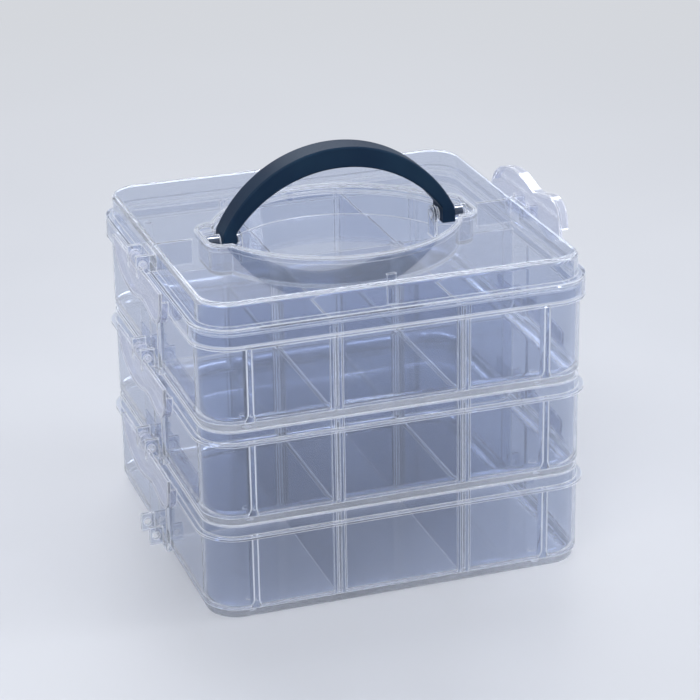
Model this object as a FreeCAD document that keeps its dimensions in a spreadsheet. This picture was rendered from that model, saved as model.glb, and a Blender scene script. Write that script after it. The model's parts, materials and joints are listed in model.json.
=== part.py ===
import FreeCAD, Part
import math
import os
import Sketcher

os.makedirs("parts", exist_ok=True)

# Millimetres. X is the width, the front faces -Y, Z is up, and the box stands on Z = 0
# with its middle over the origin.
SIZES = [
    # box and tiers
    ("box_width", 163.6),
    ("box_depth", 160.2),
    ("corner_radius", 14.5),
    ("wall", 1.6),
    ("floor", 1.6),
    ("tier_pitch", 41.0),
    ("floor_fillet", 6.0),
    ("base_fillet", 0.8),
    # narrower foot of each tray, which stands in the rim of the tray below
    ("foot_height", 4.0),
    ("foot_inset", 1.3),
    ("nest_depth", 1.0),
    ("nest_gap", 0.4),
    # thin flange round each tray, below its rim
    ("flange_drop", 5.0),
    ("flange_thickness", 1.2),
    ("flange_flare", 2.3),
    # fixed wall and removable dividers
    ("inner_wall", 1.4),
    ("inner_drop", 1.5),
    ("divider_place", 27.0),
    ("divider_thickness", 1.2),
    ("divider_gap", 0.3),
    ("slot_rib", 1.6),
    ("slot_rib_depth", 2.2),
    ("pilaster_place", 63.0),
    ("pilaster_radius", 2.2),
    ("stud_place_x", 62.5),
    ("stud_place_y", 66.0),
    ("stud_radius", 1.6),
    ("stud_rise", 0.5),
    # hinge columns, brackets and latches on both sides
    ("column_width", 27.0),
    ("column_depth", 1.5),
    ("lug_width", 16.0),
    ("lug_plate", 1.8),
    ("lug_reach", 7.4),
    ("lug_low", 3.0),
    ("lug_height", 8.0),
    ("latch_pin_reach", 4.6),
    ("latch_pin_height", 7.0),
    ("latch_pin_radius", 1.5),
    ("pin_clearance", 0.06),
    ("part_gap", 0.3),
    ("knuckle_radius", 2.7),
    ("leaf_thickness", 1.4),
    ("leaf_offset", 1.2),
    ("leaf_front", 42.0),
    ("leaf_back", 34.0),
    ("leaf_reach", 16.0),
    ("leaf_lip", 2.8),
    ("leaf_lip_wall", 1.3),
    # lid
    ("lid_skirt", 7.9),
    ("lid_skirt_flare", 2.1),
    ("lid_skirt_wall", 1.4),
    ("lid_inset", 1.1),
    ("lid_height", 9.5),
    ("lid_round", 2.4),
    ("dish_half_width", 57.0),
    ("dish_half_depth", 44.5),
    ("dish_end_half_depth", 12.5),
    ("dish_end_length", 8.0),
    ("dish_corner", 5.0),
    ("dish_depth", 13.0),
    ("dish_wall", 1.4),
    ("dish_step_width", 1.4),
    ("dish_step_depth", 2.4),
    ("dish_bead_width", 1.2),
    ("dish_bead_rise", 0.6),
    ("tab_width", 4.0),
    ("tab_height", 12.5),
    ("tab_thickness", 1.4),
    ("tab_place", 68.0),
    ("web_width", 1.4),
    ("web_gap", 3.4),
    ("web_height", 12.2),
    # handle
    ("handle_width", 12.0),
    ("handle_pivot_drop", 3.0),
    ("handle_top", 36.4),
    ("handle_thickness", 9.0),
    ("handle_foot", 5.6),
    ("handle_foot_room", 5.8),
    ("handle_foot_top", 4.0),
    ("handle_foot_end", 2.4),
    ("handle_pin_radius", 1.5),
    ("handle_edge", 0.9),
    ("socket_boss_radius", 3.2),
    ("socket_plate", 1.4),
    ("socket_plate_half", 4.0),
    ("socket_plate_gap", 1.7),
]

NAMES = {alias for alias, number in SIZES}
# The finished pieces, in the order in which they are built.
FINISHED = []
# How close an edge must lie to a height to be at it.
NEAR = 0.01

UP = FreeCAD.Vector(0, 0, 1)
RIGHT = FreeCAD.Vector(1, 0, 0)
BACK = FreeCAD.Vector(0, 1, 0)
QUARTER_TURN = 90

doc = FreeCAD.newDocument("storage_box")
sheet = doc.addObject("Spreadsheet::Sheet", "sizes")
for row, (alias, number) in enumerate(SIZES, start=1):
    cell = "A%d" % row
    sheet.set(cell, str(number))
    sheet.setAlias(cell, alias)
doc.recompute()


def size(alias):
    return float(sheet.get(alias))


def term(text):
    """Puts the sheet's name before each alias in an expression."""
    words = []
    for word in text.split():
        bare = word.strip("()")
        if bare in NAMES:
            word = word.replace(bare, "sizes." + bare)
        words.append(word)
    return " ".join(words)


# Heights in a tray's own frame and places on the box's sides.
TRAY_TOP = "( tier_pitch + nest_depth )"
FLANGE_LOW = "( tier_pitch - flange_drop )"
INNER_TOP = "( tier_pitch - inner_drop )"
HALF_X = "( box_width / 2 )"
HALF_Y = "( box_depth / 2 )"
PIN_X = "( box_width / 2 + latch_pin_reach )"
# How far inside the outer faces the ribs and columns begin, so the foot covers their ends.
ROOT = "( ( foot_inset + wall ) / 2 )"
# The inner and outer faces of the handle's feet, and the tips of its pins.
FOOT_IN = "( dish_half_width - handle_foot_room - handle_foot )"
FOOT_OUT = "( dish_half_width - handle_foot_room )"
PIN_REACH = "( dish_half_width - part_gap )"
# How far the lugs' corners stand from the latch's pin.
LUG_SWEEP = "sqrt( ( lug_height / 2 ) ^ 2 + ( lug_reach - latch_pin_reach ) ^ 2 )"


def bind(thing, rules):
    for path, text in rules.items():
        thing.setExpression(path, term(text))


def box(label, span_x, span_y, span_z):
    """A block between two expressions on each axis."""
    block = doc.addObject("Part::Box", label)
    names = ("Length", "Width", "Height")
    for name, axis, (low, high) in zip(names, "xyz", (span_x, span_y, span_z)):
        bind(block, {
            name: "( %s ) - ( %s )" % (high, low),
            "Placement.Base." + axis: low,
        })
    return block


def rod(label, radius, along, start, length, centre):
    """A cylinder along X, Y or Z. centre gives the other two places, in axis order."""
    cylinder = doc.addObject("Part::Cylinder", label)
    turns = {
        "x": FreeCAD.Rotation(BACK, QUARTER_TURN),
        "y": FreeCAD.Rotation(RIGHT, -QUARTER_TURN),
        "z": FreeCAD.Rotation(),
    }
    cylinder.Placement = FreeCAD.Placement(FreeCAD.Vector(), turns[along])
    others = [axis for axis in "xyz" if axis != along]
    bind(cylinder, {
        "Radius": radius,
        "Height": length,
        "Placement.Base." + along: start,
        "Placement.Base." + others[0]: centre[0],
        "Placement.Base." + others[1]: centre[1],
    })
    return cylinder


def fuse(label, things):
    joined = doc.addObject("Part::MultiFuse", label)
    joined.Shapes = things
    return joined


def cut(label, base, tool):
    result = doc.addObject("Part::Cut", label)
    result.Base = base
    result.Tool = tool
    return result


def name_part(thing, label, lift=None):
    """Gives a finished piece its label and, for a tier, its height in the stack."""
    thing.Label = label
    if lift:
        bind(thing, {"Placement.Base.z": lift})
    FINISHED.append(thing)
    return thing


def outline(body, label, offset, height):
    """A rounded rectangle in a body, grown by offset from the box's outer wall."""
    sketch = body.newObject("Sketcher::SketchObject", label)
    plane = [item for item in body.Origin.OriginFeatures if item.Role == "XY_Plane"][0]
    sketch.AttachmentSupport = [(plane, "")]
    sketch.MapMode = "FlatFace"
    bind(sketch, {"AttachmentOffset.Base.z": height})
    half_x = size("box_width") / 2
    half_y = size("box_depth") / 2
    radius = size("corner_radius")
    in_x = half_x - radius
    in_y = half_y - radius
    corners = [(in_x, -in_y), (in_x, in_y), (-in_x, in_y), (-in_x, -in_y)]
    sides = [
        ((-in_x, -half_y), (in_x, -half_y)),
        ((half_x, -in_y), (half_x, in_y)),
        ((in_x, half_y), (-in_x, half_y)),
        ((-half_x, in_y), (-half_x, -in_y)),
    ]
    for start, end in sides:
        sketch.addGeometry(Part.LineSegment(
            FreeCAD.Vector(*start, 0), FreeCAD.Vector(*end, 0)), False)
    for turn, centre in enumerate(corners):
        circle = Part.Circle(FreeCAD.Vector(*centre, 0), UP, radius)
        begin = math.radians(QUARTER_TURN * (turn - 1))
        finish = math.radians(QUARTER_TURN * turn)
        sketch.addGeometry(Part.ArcOfCircle(circle, begin, finish), False)
    count = len(sides)
    for side in range(count):
        arc = count + side
        following = (side + 1) % count
        sketch.addConstraint(Sketcher.Constraint("Tangent", side, 2, arc, 1))
        sketch.addConstraint(Sketcher.Constraint("Tangent", arc, 2, following, 1))
        direction = "Vertical" if side % 2 else "Horizontal"
        sketch.addConstraint(Sketcher.Constraint(direction, side))
        if side:
            sketch.addConstraint(Sketcher.Constraint("Equal", count, arc))
    named = [
        ("low_y", "DistanceY", (0, 1, -1, 1), half_y, HALF_Y),
        ("high_x", "DistanceX", (-1, 1, 1, 1), half_x, HALF_X),
        ("high_y", "DistanceY", (-1, 1, 2, 1), half_y, HALF_Y),
        ("low_x", "DistanceX", (3, 1, -1, 1), half_x, HALF_X),
    ]
    for name, kind, points, start, text in named:
        index = sketch.addConstraint(Sketcher.Constraint(kind, *points, start))
        sketch.renameConstraint(index, name)
        bind(sketch, {"Constraints." + name: "%s + ( %s )" % (text, offset)})
    index = sketch.addConstraint(Sketcher.Constraint("Radius", count, radius))
    sketch.renameConstraint(index, "corner")
    bind(sketch, {"Constraints.corner": "corner_radius + ( %s )" % offset})
    sketch.Visibility = False
    return sketch


def pad(body, label, sketch, length):
    feature = body.newObject("PartDesign::Pad", label)
    feature.Profile = sketch
    bind(feature, {"Length": length})
    return feature


def pocket_up(body, label, sketch, length):
    feature = body.newObject("PartDesign::Pocket", label)
    feature.Profile = sketch
    feature.Reversed = True
    bind(feature, {"Length": length})
    return feature


def round_edges(body, label, radius, wanted):
    """Rounds the tip's edges that the wanted test picks out."""
    doc.recompute()
    tip = body.Tip
    names = [
        "Edge%d" % number
        for number, edge in enumerate(tip.Shape.Edges, start=1)
        if wanted(edge.BoundBox)
    ]
    feature = body.newObject("PartDesign::Fillet", label)
    feature.Base = (tip, names)
    bind(feature, {"Radius": radius})
    return feature


def lies_flat_at(height):
    """A test for edges that lie flat at this height."""
    def test(bound):
        return abs(bound.ZMin - height) < NEAR and abs(bound.ZMax - height) < NEAR
    return test


def tray_shell(prefix):
    """The moulded tub: foot, floor, four walls and a thin flange round the outside."""
    body = doc.addObject("PartDesign::Body", prefix + "_shell")
    foot = outline(body, prefix + "_foot_line", "0 - foot_inset", "0")
    pad(body, prefix + "_foot", foot, "foot_height")
    tub = outline(body, prefix + "_tub_line", "0", "foot_height")
    pad(body, prefix + "_tub", tub, TRAY_TOP + " - foot_height")
    flange = outline(body, prefix + "_flange_line", "flange_flare", FLANGE_LOW)
    pad(body, prefix + "_flange", flange, "flange_thickness")
    round_edges(body, prefix + "_base_round", "base_fillet", lies_flat_at(0))
    hollow = outline(body, prefix + "_hollow_line", "0 - wall", "floor")
    pocket_up(body, prefix + "_hollow", hollow, TRAY_TOP)
    nest = outline(body, prefix + "_nest_line", "nest_gap - foot_inset", "tier_pitch")
    pocket_up(body, prefix + "_nest", nest, "2 * nest_depth")
    round_edges(body, prefix + "_floor_round", "floor_fillet", lies_flat_at(size("floor")))
    return body


def slot_ribs(prefix):
    """Pairs of upright ribs that hold the dividers. The outer ones carry the next tray."""
    ribs = []
    inner = "( divider_thickness / 2 + divider_gap )"
    reach = "box_depth / 2 - wall - slot_rib_depth"
    root = "box_depth / 2 - " + ROOT
    places = {
        "front": (side_span(-1, reach, root), "tier_pitch"),
        "middle": (("0 - inner_wall / 2 - slot_rib_depth", "inner_wall / 2 + slot_rib_depth"),
                   INNER_TOP),
        "back": (side_span(1, reach, root), "tier_pitch"),
    }
    for place, (span_y, top) in places.items():
        for side, sign in (("left", "0 -"), ("right", "0 +")):
            centre = "%s divider_place" % sign
            for order, (low, high) in enumerate([
                ("- %s - slot_rib" % inner, "- %s" % inner),
                ("+ %s" % inner, "+ %s + slot_rib" % inner),
            ]):
                label = "%s_rib_%s_%s_%d" % (prefix, place, side, order)
                span_x = ("%s %s" % (centre, low), "%s %s" % (centre, high))
                ribs.append(box(label, span_x, span_y, ("floor / 2", top)))
    return ribs


def pilasters(prefix):
    """Round uprights on the inside of the front and back walls."""
    rounds = []
    for side, sign in (("left", "0 -"), ("right", "0 +")):
        for face, face_sign in (("front", "0 -"), ("back", "0 +")):
            centre_y = "( box_depth / 2 - %s - pilaster_radius )" % ROOT
            rounds.append(rod(
                "%s_pilaster_%s_%s" % (prefix, face, side), "pilaster_radius", "z",
                "floor / 2", FLANGE_LOW + " - floor",
                ("%s pilaster_place" % sign, "%s %s" % (face_sign, centre_y))))
    return rounds


def studs(prefix):
    """Low round studs on the floor near the tray's corners."""
    rounds = []
    for side, sign_x in (("left", "0 -"), ("right", "0 +")):
        for face, sign_y in (("front", "0 -"), ("back", "0 +")):
            rounds.append(rod(
                "%s_stud_%s_%s" % (prefix, face, side), "stud_radius", "z", "floor / 2",
                "floor / 2 + stud_rise",
                ("%s stud_place_x" % sign_x, "%s stud_place_y" % sign_y)))
    return rounds


def side_span(sign, low, high):
    """Distances from the middle, taken to the left or the right."""
    if sign > 0:
        return (low, high)
    return ("0 - ( %s )" % high, "0 - ( %s )" % low)


SIDES = (("left", -1), ("right", 1))


def lugs(prefix, root, low):
    """The two plates on each side that carry a latch's pins, and their pin holes."""
    plates = []
    holes = []
    for side, sign in SIDES:
        for face, face_sign in (("front", -1), ("back", 1)):
            plates.append(box(
                "%s_lug_%s_%s" % (prefix, side, face),
                side_span(sign, root, HALF_X + " + lug_reach"),
                side_span(face_sign, "lug_width / 2 - lug_plate", "lug_width / 2"),
                (low, low + " + lug_height")))
        pin_place = PIN_X if sign > 0 else "0 - " + PIN_X
        holes.append(rod(
            "%s_pin_hole_%s" % (prefix, side), "latch_pin_radius + pin_clearance", "y",
            "0 - lug_width", "2 * lug_width",
            (pin_place, low + " - lug_low + latch_pin_height")))
    return plates, holes


def build_tray(label, tier):
    shell = tray_shell(label)
    solids = [shell]
    solids.append(box(
        label + "_middle_wall",
        ("0 - box_width / 2 + " + ROOT, "box_width / 2 - " + ROOT),
        ("0 - inner_wall / 2", "inner_wall / 2"),
        ("floor / 2", INNER_TOP)))
    solids += slot_ribs(label)
    solids += pilasters(label)
    solids += studs(label)
    for side, sign in SIDES:
        solids.append(box(
            "%s_column_%s" % (label, side),
            side_span(sign, HALF_X + " - " + ROOT, HALF_X + " + column_depth"),
            ("0 - column_width / 2", "column_width / 2"),
            ("nest_depth + nest_gap", FLANGE_LOW + " + flange_thickness / 2")))
    plates, holes = lugs(label, HALF_X + " - wall / 2", "lug_low")
    solid = fuse(label + "_solid", solids + plates)
    tray = cut(label + "_bored", solid, fuse(label + "_holes", holes))
    name_part(tray, label, "%d * tier_pitch" % tier if tier else None)


def build_dividers(tray_label, tier):
    """Four thin plates that slide down between the slot ribs."""
    for place, (near, far) in {
        "front": ("0 - box_depth / 2 + wall + part_gap", "0 - inner_wall / 2 - part_gap"),
        "back": ("inner_wall / 2 + part_gap", "box_depth / 2 - wall - part_gap"),
    }.items():
        for side, sign in (("left", "0 -"), ("right", "0 +")):
            label = "divider_%s_%s_%s" % (tray_label.replace("tray_", ""), place, side)
            plate = box(
                label + "_plate",
                ("%s divider_place - divider_thickness / 2" % sign,
                 "%s divider_place + divider_thickness / 2" % sign),
                (near, far),
                ("floor + part_gap", INNER_TOP))
            corner_y = near if place == "front" else far
            corner = box(
                label + "_corner_block",
                ("%s divider_place - divider_thickness" % sign,
                 "%s divider_place + divider_thickness" % sign),
                (("%s - part_gap" % corner_y, "%s + floor_fillet" % corner_y)
                 if place == "front" else
                 ("%s - floor_fillet" % corner_y, "%s + part_gap" % corner_y)),
                ("floor", "floor + part_gap + floor_fillet"))
            centre_y = ("%s + floor_fillet" if place == "front" else
                        "%s - floor_fillet") % corner_y
            round_tool = rod(
                label + "_corner_round", "floor_fillet", "x",
                "%s divider_place - divider_thickness" % sign, "2 * divider_thickness",
                (centre_y, "floor + part_gap + floor_fillet"))
            waste = cut(label + "_waste", corner, round_tool)
            name_part(cut(label + "_cut", plate, waste), label,
                      "%d * tier_pitch" % tier if tier else None)


# Places on the leaf's wavy edge, as shares of its length to one side and of its reach.
LEAF_BACK_SHARES = ((1.0, 0.12), (0.93, 0.42), (0.76, 0.72), (0.48, 0.93), (0.2, 1.0))
LEAF_FRONT_SHARES = ((0.1, 0.93), (0.28, 0.82), (0.48, 0.86), (0.66, 0.97), (0.83, 0.95),
                     (0.945, 0.74), (0.985, 0.42), (1.0, 0.12))


def leaf_line(inset):
    """The latch's two-lobed outline in the YZ plane, pins at the origin, hanging down."""
    front = size("leaf_front")
    back = size("leaf_back")
    reach = size("leaf_reach")
    points = []
    for along, down in LEAF_BACK_SHARES:
        points.append(FreeCAD.Vector(0, back * along, -reach * down))
    for along, down in LEAF_FRONT_SHARES:
        points.append(FreeCAD.Vector(0, -front * along, -reach * down))
    curve = Part.BSplineCurve()
    curve.interpolate(points)
    if inset:
        moved = []
        for point in points:
            along = curve.tangent(curve.parameter(point))[0]
            moved.append(point + RIGHT.cross(along) * -inset)
        points = moved
        curve = Part.BSplineCurve()
        curve.interpolate(points)
    first = FreeCAD.Vector(0, back - inset, 0)
    last = FreeCAD.Vector(0, inset - front, 0)
    straight = [
        Part.makeLine(points[-1], last),
        Part.makeLine(last, first),
        Part.makeLine(first, points[0]),
    ]
    return Part.Wire([curve.toShape()] + straight)


def leaf_solid():
    """The latch's plate with an inward lip along its wavy edge, for the right side."""
    plate_start = size("leaf_offset")
    thickness = size("leaf_thickness")
    lip = size("leaf_lip")
    root = size("lug_height") / 2 + size("part_gap")
    whole = Part.Face(leaf_line(0)).extrude(RIGHT * (thickness + lip))
    hollow = Part.Face(leaf_line(size("leaf_lip_wall"))).extrude(RIGHT * lip)
    top_block = Part.makeBox(lip, size("leaf_front") + size("leaf_back"), root,
                             FreeCAD.Vector(0, -size("leaf_front"), -root))
    solid = whole.cut(hollow).cut(top_block)
    solid.translate(RIGHT * (plate_start - lip))
    return solid


def build_latch(label, sign, height):
    """A leaf with a knuckle and two pins moulded on it, hung between a pair of lugs."""
    leaf = doc.addObject("Part::Feature", label + "_leaf")
    solid = leaf_solid()
    if sign < 0:
        solid = solid.mirror(FreeCAD.Vector(), RIGHT)
    leaf.Shape = solid
    notch = "( " + LUG_SWEEP + " + part_gap )"
    notches = []
    for face, face_sign in (("front", -1), ("back", 1)):
        notches.append(box(
            "%s_notch_%s" % (label, face),
            ("0 - knuckle_radius - lug_reach", "knuckle_radius + lug_reach"),
            side_span(face_sign, "lug_width / 2 - lug_plate - part_gap",
                      "lug_width / 2 + part_gap"),
            ("0 - " + notch, notch)))
    trimmed = cut(label + "_trimmed", leaf, fuse(label + "_notches", notches))
    half_knuckle = "( lug_width / 2 - lug_plate - part_gap )"
    knuckle = rod(label + "_knuckle", "knuckle_radius", "y", "0 - " + half_knuckle,
                  "2 * " + half_knuckle, ("0", "0"))
    pin_end = "( lug_width / 2 - part_gap )"
    pins = rod(label + "_pins", "latch_pin_radius", "y", "0 - " + pin_end,
               "2 * " + pin_end, ("0", "0"))
    latch = fuse(label + "_joined", [trimmed, knuckle, pins])
    place = PIN_X if sign > 0 else "0 - " + PIN_X
    bind(latch, {"Placement.Base.x": place})
    return name_part(latch, label, height)


# The lid's skirt rests on the top tray's flange, and the lid steps in above the skirt.
LID_SEAT = "( 2 * tier_pitch + %s + flange_thickness )" % FLANGE_LOW
LEDGE = "( %s + lid_skirt )" % LID_SEAT
DECK = "( %s + lid_height )" % LEDGE
DISH_FLOOR = "( %s - dish_depth )" % DECK
HANDLE_PIVOT = "( %s - handle_pivot_drop )" % DECK
LID_LUG_LOW = "( %s - wall / 2 )" % LEDGE
LID_PIN = "( %s - lug_low + latch_pin_height )" % LID_LUG_LOW
LID_ROOT = HALF_X + " - lid_inset - wall / 2"

# The dish's front and back are bows that pass through its deepest point and its ends.
BOW_RISE = "( dish_half_depth - dish_end_half_depth )"
BOW_HALF_WIDTH = "( dish_half_width - dish_end_length )"


def arc_radius(half_span, rise):
    """Radius of the bow over a chord of twice half_span that rises this far."""
    return "( ( ( %s ) ^ 2 + ( %s ) ^ 2 ) / ( 2 * ( %s ) ) )" % (half_span, rise, rise)


BOW_RADIUS = arc_radius(BOW_HALF_WIDTH, BOW_RISE)


def dish(label, grow, low, height):
    """The dish's plan, two bows over a long rounded block, grown all round and raised."""
    bows = []
    for face, sign in (("front", "0 +"), ("back", "0 -")):
        bows.append(rod(
            "%s_%s_bow" % (label, face), "%s + ( %s )" % (BOW_RADIUS, grow), "z", low, height,
            ("0", "%s ( %s - dish_half_depth )" % (sign, BOW_RADIUS))))
    middle = doc.addObject("Part::MultiCommon", label + "_bows")
    middle.Shapes = bows
    solids = [middle]
    inner = ("( dish_half_width - dish_corner )", "( dish_end_half_depth - dish_corner )")
    outer = ("( dish_half_width + ( %s ) )" % grow, "( dish_end_half_depth + ( %s ) )" % grow)
    top = "( %s ) + ( %s )" % (low, height)
    for name, half_x, half_y in (("long", outer[0], inner[1]), ("wide", inner[0], outer[1])):
        solids.append(box("%s_%s_block" % (label, name), ("0 - " + half_x, half_x),
                          ("0 - " + half_y, half_y), (low, top)))
    for side, sign_x in (("left", "0 -"), ("right", "0 +")):
        for face, sign_y in (("front", "0 -"), ("back", "0 +")):
            solids.append(rod(
                "%s_corner_%s_%s" % (label, face, side), "dish_corner + ( %s )" % grow, "z",
                low, height, ("%s %s" % (sign_x, inner[0]), "%s %s" % (sign_y, inner[1]))))
    return fuse(label, solids)


def lid_shell():
    """The cap: a skirt outside the top tray's rim, a ledge and a narrower raised block."""
    body = doc.addObject("PartDesign::Body", "lid_shell")
    block = outline(body, "lid_block_line", "0 - lid_inset", LID_SEAT)
    pad(body, "lid_block", block, "lid_skirt + lid_height")
    deck = (size("tier_pitch") * 3 - size("flange_drop") + size("flange_thickness")
            + size("lid_skirt") + size("lid_height"))
    round_edges(body, "lid_round_edge", "lid_round", lies_flat_at(deck))
    skirt = outline(body, "lid_skirt_line", "lid_skirt_flare", LID_SEAT)
    pad(body, "lid_skirt_band", skirt, "lid_skirt")
    under_ledge = outline(body, "lid_skirt_hollow_line", "lid_skirt_flare - lid_skirt_wall",
                          LID_SEAT)
    pocket_up(body, "lid_skirt_hollow", under_ledge, "lid_skirt - wall")
    hollow = outline(body, "lid_hollow_line", "0 - lid_inset - wall", LID_SEAT)
    pocket_up(body, "lid_hollow", hollow, "lid_skirt + lid_height - wall")
    return body


def sockets():
    """Plates and bosses in the dish's ends that carry the handle's pins."""
    solids = []
    plate_far = "( %s - socket_plate_gap )" % FOOT_IN
    plate_near = "( %s - socket_plate )" % plate_far
    boss_spans = (
        ("inner", plate_near, FOOT_IN + " - part_gap"),
        ("outer", FOOT_OUT + " + part_gap", "dish_half_width + dish_wall / 2"),
    )
    for side, sign in SIDES:
        solids.append(box(
            "lid_socket_plate_" + side, side_span(sign, plate_near, plate_far),
            ("0 - socket_plate_half", "socket_plate_half"),
            (DISH_FLOOR + " - dish_wall / 2", HANDLE_PIVOT)))
        span = side_span(sign, plate_near, plate_far)
        solids.append(rod("lid_socket_round_" + side, "socket_plate_half", "x", span[0],
                          "socket_plate", ("0", HANDLE_PIVOT)))
        for name, near, far in boss_spans:
            span = side_span(sign, near, far)
            solids.append(rod(
                "lid_boss_%s_%s" % (name, side), "socket_boss_radius", "x", span[0],
                "( %s ) - ( %s )" % (span[1], span[0]), ("0", HANDLE_PIVOT)))
    return solids


def build_lid():
    dish_out = dish("lid_dish_outside", "dish_wall", DISH_FLOOR + " - dish_wall",
                    "dish_depth + dish_wall - wall / 2")
    step_out = dish("lid_step_outside", "dish_step_width + dish_wall",
                    DECK + " - dish_step_depth - dish_wall",
                    "dish_step_depth + dish_wall - wall / 2")
    bead = dish("lid_dish_bead", "dish_step_width + dish_bead_width", DECK + " - wall / 2",
                "wall / 2 + dish_bead_rise")
    hollows = [
        dish("lid_dish_inside", "0", DISH_FLOOR, "2 * dish_depth"),
        dish("lid_step_inside", "dish_step_width", DECK + " - dish_step_depth",
             "2 * dish_step_depth"),
    ]
    plates, holes = lugs("lid", LID_ROOT, LID_LUG_LOW)
    solids = [lid_shell(), dish_out, step_out, bead] + plates
    for side, sign in SIDES:
        solids.append(box(
            "lid_web_" + side,
            side_span(sign, "dish_half_width + dish_wall + dish_step_width + web_gap", LID_ROOT),
            ("0 - web_width / 2", "web_width / 2"),
            (DECK + " - web_height", DECK + " - wall / 2")))
        solids.append(box(
            "lid_column_" + side,
            side_span(sign, LID_ROOT, HALF_X + " + column_depth"),
            ("0 - lug_width / 2", "lug_width / 2"),
            (LID_LUG_LOW, LID_LUG_LOW + " + lug_height")))
    for face, face_sign in (("front", -1), ("back", 1)):
        solids.append(box(
            "lid_tab_" + face, ("0 - tab_width / 2", "tab_width / 2"),
            side_span(face_sign, "tab_place - tab_thickness / 2",
                      "tab_place + tab_thickness / 2"),
            (DECK + " - wall / 2 - tab_height", DECK + " - wall / 2")))
    hollowed = cut("lid_hollowed", fuse("lid_solids", solids), fuse("lid_hollows", hollows))
    holes.append(rod("lid_handle_bore", "handle_pin_radius + pin_clearance", "x",
                     "0 - " + PIN_REACH, "2 * " + PIN_REACH, ("0", HANDLE_PIVOT)))
    lid_solid = fuse("lid_solid", [hollowed] + sockets())
    name_part(cut("lid_bored", lid_solid, fuse("lid_holes", holes)), "lid")


def build_handle():
    """A crescent strap with flat-ended feet that turn on pins in the lid's bosses."""
    half_width = "( handle_width / 2 )"
    top = HANDLE_PIVOT + " + handle_top"
    outer_radius = arc_radius(FOOT_OUT, "handle_top - handle_foot_top")
    inner_radius = arc_radius(FOOT_IN, "handle_top - handle_thickness - handle_foot_top")
    outer = rod("handle_outer", outer_radius, "y", "0 - " + half_width,
                "handle_width", ("0", top + " - " + outer_radius))
    inner = rod("handle_inner", inner_radius, "y", "0 - handle_width",
                "2 * handle_width", ("0", top + " - handle_thickness - " + inner_radius))
    ring = cut("handle_ring", outer, inner)
    keep = box("handle_keep", ("0 - 2 * dish_half_width", "2 * dish_half_width"),
               ("0 - handle_width", "handle_width"),
               (HANDLE_PIVOT + " + handle_foot_top", top + " + handle_thickness"))
    strap = doc.addObject("Part::MultiCommon", "handle_strap")
    strap.Shapes = [ring, keep]
    solids = [strap]
    for side, sign in SIDES:
        span = side_span(sign, FOOT_IN, FOOT_OUT)
        solids.append(box(
            "handle_foot_" + side, span, ("0 - " + half_width, half_width),
            (HANDLE_PIVOT + " - handle_foot_end", HANDLE_PIVOT + " + handle_foot_top")))
        pins = side_span(sign, FOOT_IN + " - socket_plate_gap", PIN_REACH)
        solids.append(rod("handle_pins_" + side, "handle_pin_radius", "x", pins[0],
                          "( %s ) - ( %s )" % (pins[1], pins[0]), ("0", HANDLE_PIVOT)))
    joined = fuse("handle_joined", solids)
    joined.Refine = True
    doc.recompute()
    rounded = doc.addObject("Part::Fillet", "handle_rounded")
    rounded.Base = joined
    radius = size("handle_edge")
    wide = size("dish_half_width")
    rounded.Edges = [
        (number, radius, radius)
        for number, edge in enumerate(joined.Shape.Edges, start=1)
        if edge.Curve.TypeId == "Part::GeomCircle" and edge.BoundBox.XLength > wide
    ]
    name_part(rounded, "handle")


TRAYS = ("tray_bottom", "tray_middle", "tray_top")
for tier, tray_label in enumerate(TRAYS):
    build_tray(tray_label, tier)
    build_dividers(tray_label, tier)

build_lid()
build_handle()

LATCH_HEIGHTS = {
    "middle": "tier_pitch + latch_pin_height",
    "top": "2 * tier_pitch + latch_pin_height",
    "lid": LID_PIN,
}
for tier_name, height in LATCH_HEIGHTS.items():
    for side, sign in SIDES:
        latch = build_latch("latch_%s_%s" % (tier_name, side), sign, height)
        if (tier_name, side) == ("lid", "right"):
            latch.Placement = FreeCAD.Placement(
                latch.Placement.Base, FreeCAD.Rotation(BACK, -2 * QUARTER_TURN))

doc.recompute()

for thing in doc.Objects:
    broken = [word for word in thing.State if word in ("Invalid", "Error")]
    if broken:
        raise RuntimeError("%s does not compute" % thing.Label)

for part in FINISHED:
    shape = part.Shape
    if shape.isNull() or not shape.isValid():
        raise RuntimeError("%s has no valid shape" % part.Label)
    if len(shape.Solids) != 1:
        raise RuntimeError("%s has %d solids" % (part.Label, len(shape.Solids)))
    shape.exportStep("parts/%s.step" % part.Label)
    bound = shape.BoundBox
    print("%-28s %8.2f %8.2f %8.2f  %8.2f %8.2f %8.2f  volume %9.1f" % (
        part.Label, bound.XMin, bound.YMin, bound.ZMin,
        bound.XMax, bound.YMax, bound.ZMax, shape.Volume))
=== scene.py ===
import json
import math

import bpy
from mathutils import Matrix, Vector

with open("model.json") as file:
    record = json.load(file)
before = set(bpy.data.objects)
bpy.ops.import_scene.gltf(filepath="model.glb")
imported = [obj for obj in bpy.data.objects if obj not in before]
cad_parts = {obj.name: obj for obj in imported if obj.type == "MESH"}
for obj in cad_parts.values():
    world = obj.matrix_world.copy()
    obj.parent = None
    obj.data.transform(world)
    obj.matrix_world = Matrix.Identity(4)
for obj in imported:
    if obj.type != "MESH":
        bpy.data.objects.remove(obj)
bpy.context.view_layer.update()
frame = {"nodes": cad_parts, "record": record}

nodes = frame["nodes"]
MM = 0.001

# Camera at the photograph's view: place in metres, angles in degrees.
CAMERA_PLACE = (-0.31005, -0.93936, 0.48085)
CAMERA_YAW = 18.54
CAMERA_PITCH = 22.20
CAMERA_ROLL = -0.94
CAMERA_LENS = 127.68
CAMERA_SENSOR = 36.0
CAMERA_NEAR = 0.01

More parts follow.
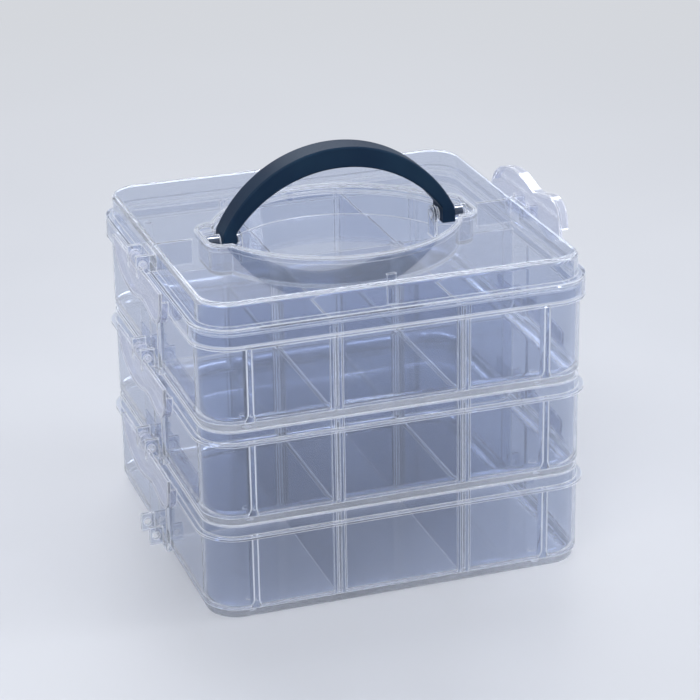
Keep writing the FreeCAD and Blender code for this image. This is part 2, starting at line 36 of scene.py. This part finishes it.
# Tint, roughness and transmission of the three kinds of clear plastic.
CLEAR_PLASTICS = {
    "clear_plastic": ((0.74, 0.78, 0.87, 1.0), 0.025, 0.97),
    "divider_plastic": ((0.79, 0.82, 0.90, 1.0), 0.03, 0.97),
    "latch_plastic": ((0.74, 0.77, 0.88, 1.0), 0.03, 0.90),
}
CLEAR_INDEX = 1.42
CLEAR_GRAIN = 90.0
CLEAR_GRAIN_DETAIL = 2.0
CLEAR_SMOOTHEST = 0.6
CLEAR_ROUGHEST = 1.5
FLOW_SCALE = 22.0
FLOW_DETAIL = 1.0
FLOW_STRENGTH = 0.10
FLOW_HEIGHT = 0.6 * MM
SHADOW_ALPHA = 0.12

# Painted light on the clear plastic: its edges whitened as a painted highlight, and
# whitening where light is caught inside its walls.
PAINTED_LIGHT_TINT = (0.97, 0.98, 1.0, 1.0)
PAINTED_LIGHT_TRANSMISSION = 0.30
EDGE_WIDTH = 0.9 * MM
EDGE_SAMPLES = 4
EDGE_FLAT = 0.99
EDGE_TURNED = 0.80
CAUGHT_FROM = 1.0
CAUGHT_TO = 3.0
CAUGHT_LIGHT_PAINT = 0.6

# Dark plastic of the handle.
HANDLE_DARK = (0.009, 0.023, 0.052, 1.0)
HANDLE_LIGHT = (0.013, 0.034, 0.066, 1.0)
HANDLE_MOTTLE = 35.0
HANDLE_MOTTLE_DETAIL = 2.0
HANDLE_GRAIN = 900.0
HANDLE_GRAIN_DETAIL = 3.0
HANDLE_SMOOTHEST = 0.38
HANDLE_ROUGHEST = 0.52
HANDLE_GRAIN_STRENGTH = 0.12
HANDLE_GRAIN_HEIGHT = 0.05 * MM
HANDLE_SPECULAR = 0.07

# Softened edges of every piece.
SOFT_EDGE = 0.30 * MM
SOFT_EDGE_SEGMENTS = 2
SHARP_ANGLE = math.radians(32)

# Where a noise starts and ends to turn from one colour to the other.
MOTTLE_START = 0.35
MOTTLE_END = 0.65

# Floor and backdrop.
FLOOR_SIZE = 6.0
FLOOR_PLACE = (0, 0, -0.2 * MM)
FLOOR_DARK = (0.58, 0.59, 0.62, 1.0)
FLOOR_LIGHT = (0.60, 0.61, 0.64, 1.0)
FLOOR_MOTTLE = 6.0
FLOOR_MOTTLE_DETAIL = 2.0
FLOOR_ROUGHNESS = 0.45
FADE_FROM = 0.25
FADE_TO = 0.90
BACKDROP = (0.66, 0.68, 0.72, 1.0)
SKY = (0.80, 0.84, 0.92, 1.0)
SKY_STRENGTH = 0.55

# Name, place, width, height, power and colour of each lamp.
LAMPS = [
    ("key", (-0.6, -0.7, 1.1), 0.7, 0.7, 9.0, (1.0, 1.0, 1.0)),
    ("right strip", (0.9, -0.3, 0.6), 0.3, 0.9, 5.0, (0.95, 0.97, 1.0)),
    ("back", (0.2, 1.0, 0.9), 0.9, 0.5, 7.0, (0.93, 0.95, 1.0)),
]
LAMP_AIM = (0, 0, 0.08)


def new_material(name):
    material = bpy.data.materials.new(name)
    material.use_nodes = True
    tree = material.node_tree
    shader = tree.nodes["Principled BSDF"]
    return material, tree, shader


def noise(tree, scale, detail):
    """A noise from 0 to 1 in the object's own coordinates."""
    place = tree.nodes.new("ShaderNodeTexCoord")
    texture = tree.nodes.new("ShaderNodeTexNoise")
    texture.inputs["Scale"].default_value = scale
    texture.inputs["Detail"].default_value = detail
    tree.links.new(place.outputs["Object"], texture.inputs["Vector"])
    return texture.outputs["Fac"]


def blend(tree, source, low, high, start, end):
    """Turns a number between start and end into a blend of two colours."""
    colours = tree.nodes.new("ShaderNodeValToRGB")
    colours.color_ramp.elements[0].color = low
    colours.color_ramp.elements[0].position = start
    colours.color_ramp.elements[1].color = high
    colours.color_ramp.elements[1].position = end
    tree.links.new(source, colours.inputs["Fac"])
    return colours.outputs["Color"]


def remap(tree, source, start, end, low, high):
    """Maps start..end onto low..high, and goes no further."""
    mapping = tree.nodes.new("ShaderNodeMapRange")
    mapping.inputs["From Min"].default_value = start
    mapping.inputs["From Max"].default_value = end
    mapping.inputs["To Min"].default_value = low
    mapping.inputs["To Max"].default_value = high
    tree.links.new(source, mapping.inputs["Value"])
    return mapping.outputs["Result"]


def combine(tree, operation, first, second):
    """The product of two numbers, or the larger of them."""
    both = tree.nodes.new("ShaderNodeMath")
    both.operation = operation
    tree.links.new(first, both.inputs[0])
    tree.links.new(second, both.inputs[1])
    return both.outputs["Value"]


def bump(tree, shader, source, strength, height):
    raised = tree.nodes.new("ShaderNodeBump")
    raised.inputs["Strength"].default_value = strength
    raised.inputs["Distance"].default_value = height
    tree.links.new(source, raised.inputs["Height"])
    tree.links.new(raised.outputs["Normal"], shader.inputs["Normal"])


def edge_mask(tree):
    """Nought on flat and gently curved faces, one close to an edge."""
    rounded = tree.nodes.new("ShaderNodeBevel")
    rounded.samples = EDGE_SAMPLES
    rounded.inputs["Radius"].default_value = EDGE_WIDTH
    place = tree.nodes.new("ShaderNodeNewGeometry")
    turned = tree.nodes.new("ShaderNodeVectorMath")
    turned.operation = "DOT_PRODUCT"
    tree.links.new(rounded.outputs["Normal"], turned.inputs[0])
    tree.links.new(place.outputs["Normal"], turned.inputs[1])
    return remap(tree, turned.outputs["Value"], EDGE_FLAT, EDGE_TURNED, 0, 1)


def paint_edge_and_caught_light(tree, rays):
    """Painted light: rises close to an edge as a painted highlight, and where light is
    caught inside the wall.
    """
    caught = remap(tree, rays.outputs["Glossy Depth"], CAUGHT_FROM, CAUGHT_TO,
                   0, CAUGHT_LIGHT_PAINT)
    return combine(tree, "MAXIMUM", edge_mask(tree), caught)


def clear_plastic(name, tint, roughness, transmission):
    """Moulded clear plastic: tinted, faintly wavy, and whitened along its edges as a painted
    highlight.
    """
    material, tree, shader = new_material(name)
    rays = tree.nodes.new("ShaderNodeLightPath")
    # The plastic turns whiter and less clear near edges (painted highlight) and where light
    # is caught inside the wall (painted light).
    painted_light_amount = paint_edge_and_caught_light(tree, rays)
    colour = blend(tree, painted_light_amount, tint, PAINTED_LIGHT_TINT, 0, 1)
    tree.links.new(colour, shader.inputs["Base Color"])
    through = remap(tree, painted_light_amount, 0, 1, transmission, PAINTED_LIGHT_TRANSMISSION)
    tree.links.new(through, shader.inputs["Transmission Weight"])
    grain = noise(tree, CLEAR_GRAIN, CLEAR_GRAIN_DETAIL)
    rough = remap(tree, grain, 0, 1, roughness * CLEAR_SMOOTHEST, roughness * CLEAR_ROUGHEST)
    tree.links.new(rough, shader.inputs["Roughness"])
    flow = noise(tree, FLOW_SCALE, FLOW_DETAIL)
    bump(tree, shader, flow, FLOW_STRENGTH, FLOW_HEIGHT)
    shader.inputs["IOR"].default_value = CLEAR_INDEX
    # Light passes through the plastic to what stands behind it.
    thin = remap(tree, rays.outputs["Is Shadow Ray"], 0, 1, 1, SHADOW_ALPHA)
    tree.links.new(thin, shader.inputs["Alpha"])
    return material


def handle_plastic():
    """Dark satin plastic with a fine grain."""
    material, tree, shader = new_material("handle_plastic")
    mottle = noise(tree, HANDLE_MOTTLE, HANDLE_MOTTLE_DETAIL)
    colour = blend(tree, mottle, HANDLE_DARK, HANDLE_LIGHT, MOTTLE_START, MOTTLE_END)
    tree.links.new(colour, shader.inputs["Base Color"])
    grain = noise(tree, HANDLE_GRAIN, HANDLE_GRAIN_DETAIL)
    rough = remap(tree, grain, 0, 1, HANDLE_SMOOTHEST, HANDLE_ROUGHEST)
    tree.links.new(rough, shader.inputs["Roughness"])
    bump(tree, shader, grain, HANDLE_GRAIN_STRENGTH, HANDLE_GRAIN_HEIGHT)
    shader.inputs["Specular IOR Level"].default_value = HANDLE_SPECULAR
    return material


def dress(thing, material):
    """Gives a piece its material and soft edges."""
    thing.data.materials.clear()
    thing.data.materials.append(material)
    softened = thing.modifiers.new("softened edges", "BEVEL")
    softened.width = SOFT_EDGE
    softened.segments = SOFT_EDGE_SEGMENTS
    softened.limit_method = "ANGLE"
    softened.angle_limit = SHARP_ANGLE
    softened.harden_normals = True


def straight_rays(tree):
    """One for rays that see the stage directly, in a mirror or through plastic."""
    rays = tree.nodes.new("ShaderNodeLightPath")
    through = combine(tree, "MAXIMUM", rays.outputs["Is Camera Ray"],
                      rays.outputs["Is Transmission Ray"])
    return combine(tree, "MAXIMUM", through, rays.outputs["Is Glossy Ray"])


def mix_to_backdrop(tree, amount, shader, plain, output):
    """Shows the plain backdrop instead of the shader by the given amount."""
    plain.inputs["Color"].default_value = BACKDROP
    choice = tree.nodes.new("ShaderNodeMixShader")
    tree.links.new(amount, choice.inputs["Fac"])
    tree.links.new(shader.outputs[0], choice.inputs[1])
    tree.links.new(plain.outputs[0], choice.inputs[2])
    tree.links.new(choice.outputs[0], tree.nodes[output].inputs["Surface"])


def floor_finish():
    """A pale floor that fades into the plain backdrop away from the object."""
    material, tree, shader = new_material("floor")
    mottle = noise(tree, FLOOR_MOTTLE, FLOOR_MOTTLE_DETAIL)
    colour = blend(tree, mottle, FLOOR_DARK, FLOOR_LIGHT, MOTTLE_START, MOTTLE_END)
    tree.links.new(colour, shader.inputs["Base Color"])
    shader.inputs["Roughness"].default_value = FLOOR_ROUGHNESS
    place = tree.nodes.new("ShaderNodeTexCoord")
    reach = tree.nodes.new("ShaderNodeVectorMath")
    reach.operation = "LENGTH"
    tree.links.new(place.outputs["Object"], reach.inputs[0])
    fade = remap(tree, reach.outputs["Value"], FADE_FROM, FADE_TO, 0, 1)
    amount = combine(tree, "MULTIPLY", fade, straight_rays(tree))
    plain = tree.nodes.new("ShaderNodeEmission")
    mix_to_backdrop(tree, amount, shader, plain, "Material Output")
    return material


def lay_floor():
    bpy.ops.mesh.primitive_plane_add(size=FLOOR_SIZE, location=FLOOR_PLACE)
    floor = bpy.context.object
    floor.name = "floor"
    floor.data.materials.append(floor_finish())


def area_light(name, place, width, height, power, colour):
    data = bpy.data.lights.new(name, "AREA")
    data.shape = "RECTANGLE"
    data.size = width
    data.size_y = height
    data.energy = power
    data.color = colour
    light = bpy.data.objects.new(name, data)
    bpy.context.scene.collection.objects.link(light)
    light.location = place
    direction = Vector(LAMP_AIM) - Vector(place)
    light.rotation_euler = direction.to_track_quat("-Z", "Y").to_euler()


def soft_sky():
    """A soft pale sky for light, and the plain backdrop for the eye."""
    world = bpy.data.worlds.new("studio")
    bpy.context.scene.world = world
    world.use_nodes = True
    tree = world.node_tree
    soft = tree.nodes["Background"]
    soft.inputs["Color"].default_value = SKY
    soft.inputs["Strength"].default_value = SKY_STRENGTH
    plain = tree.nodes.new("ShaderNodeBackground")
    mix_to_backdrop(tree, straight_rays(tree), soft, plain, "World Output")


def camera_turn():
    """The camera's axes as a rotation, from its yaw, pitch and roll."""
    yaw = math.radians(CAMERA_YAW)
    pitch = math.radians(CAMERA_PITCH)
    roll = math.radians(CAMERA_ROLL)
    look = Vector((math.sin(yaw) * math.cos(pitch), math.cos(yaw) * math.cos(pitch),
                   -math.sin(pitch)))
    level = Vector((math.cos(yaw), -math.sin(yaw), 0))
    rise = level.cross(look)
    across = math.cos(roll) * level + math.sin(roll) * rise
    upward = -math.sin(roll) * level + math.cos(roll) * rise
    return Matrix((across, upward, -look)).transposed().to_4x4()


def place_camera():
    data = bpy.data.cameras.new("camera")
    data.sensor_width = CAMERA_SENSOR
    data.lens = CAMERA_LENS
    data.clip_start = CAMERA_NEAR
    camera = bpy.data.objects.new("camera", data)
    bpy.context.scene.collection.objects.link(camera)
    camera.matrix_world = Matrix.Translation(Vector(CAMERA_PLACE)) @ camera_turn()
    bpy.context.scene.camera = camera


materials = {"handle_plastic": handle_plastic()}
for name, (tint, roughness, transmission) in CLEAR_PLASTICS.items():
    materials[name] = clear_plastic(name, tint, roughness, transmission)

slots = {item["node"]: item["material_slot"] for item in frame["record"]["subparts"]}
for name, thing in nodes.items():
    # The latches are the same clear plastic with a milkier finish.
    finish = "latch_plastic" if name.startswith("latch") else slots[name]
    dress(thing, materials[finish])

lay_floor()
for lamp in LAMPS:
    area_light(*lamp)
soft_sky()
place_camera()
bpy.context.scene.view_settings.view_transform = "Standard"
